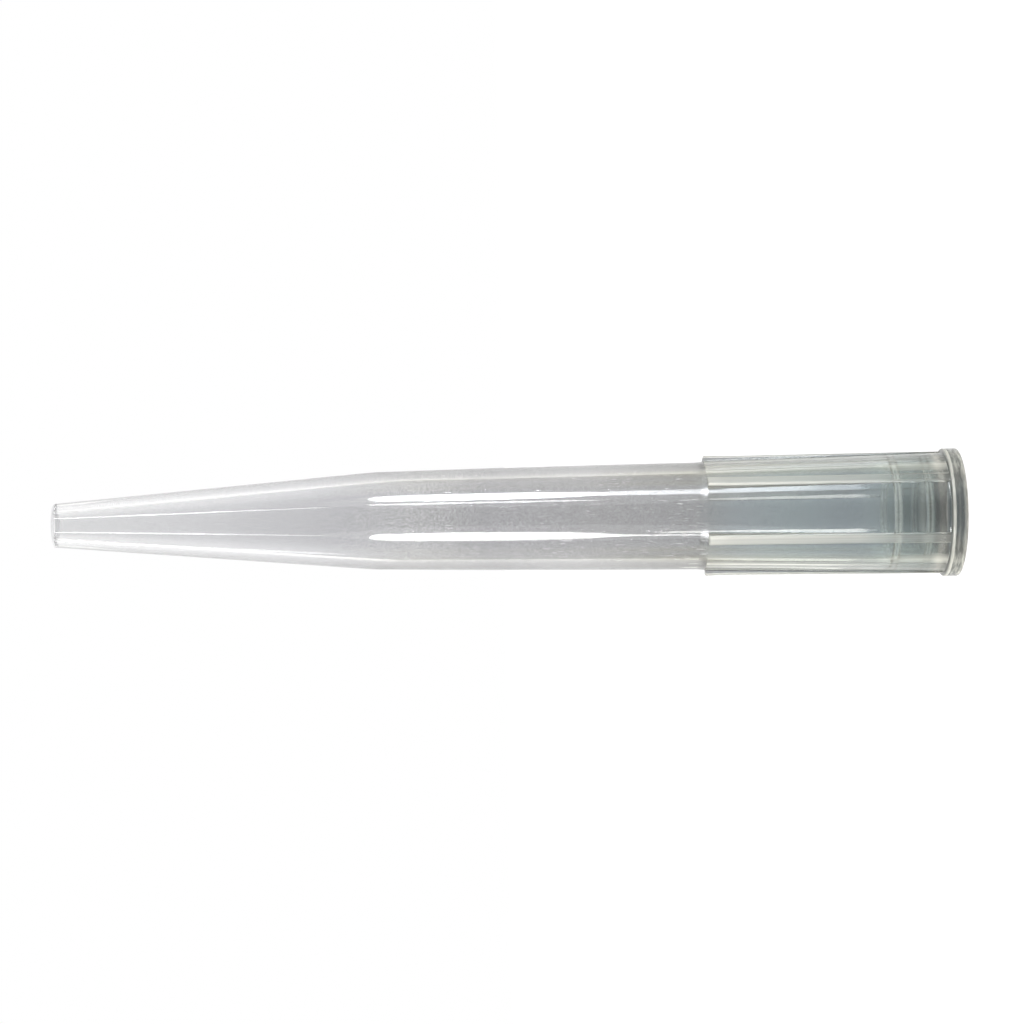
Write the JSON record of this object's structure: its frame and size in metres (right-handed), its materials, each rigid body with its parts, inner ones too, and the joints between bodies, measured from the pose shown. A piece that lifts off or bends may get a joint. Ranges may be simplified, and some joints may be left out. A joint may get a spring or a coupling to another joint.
{
  "type": "pipette tip",
  "caption": "Clear large-volume pipette tip with a blunt conical point, a tapered barrel, a ribbed collar and a rimmed socket.",
  "frame": {"origin": "centre of the rim face, on the tip's axis, at the bottom of the part as it stands mouth down", "axes": "+Z along the tip's axis from the rim to the orifice, +X through the middle of one rib"},
  "size_m": [0.017, 0.017, 0.12],
  "materials": {
    "clear_polypropylene": "clear moulded polypropylene, glossy, faintly milky in its thick collar"
  },
  "bodies": {
    "root": {"tip_body": "clear_polypropylene"}
  },
  "joints": []
}
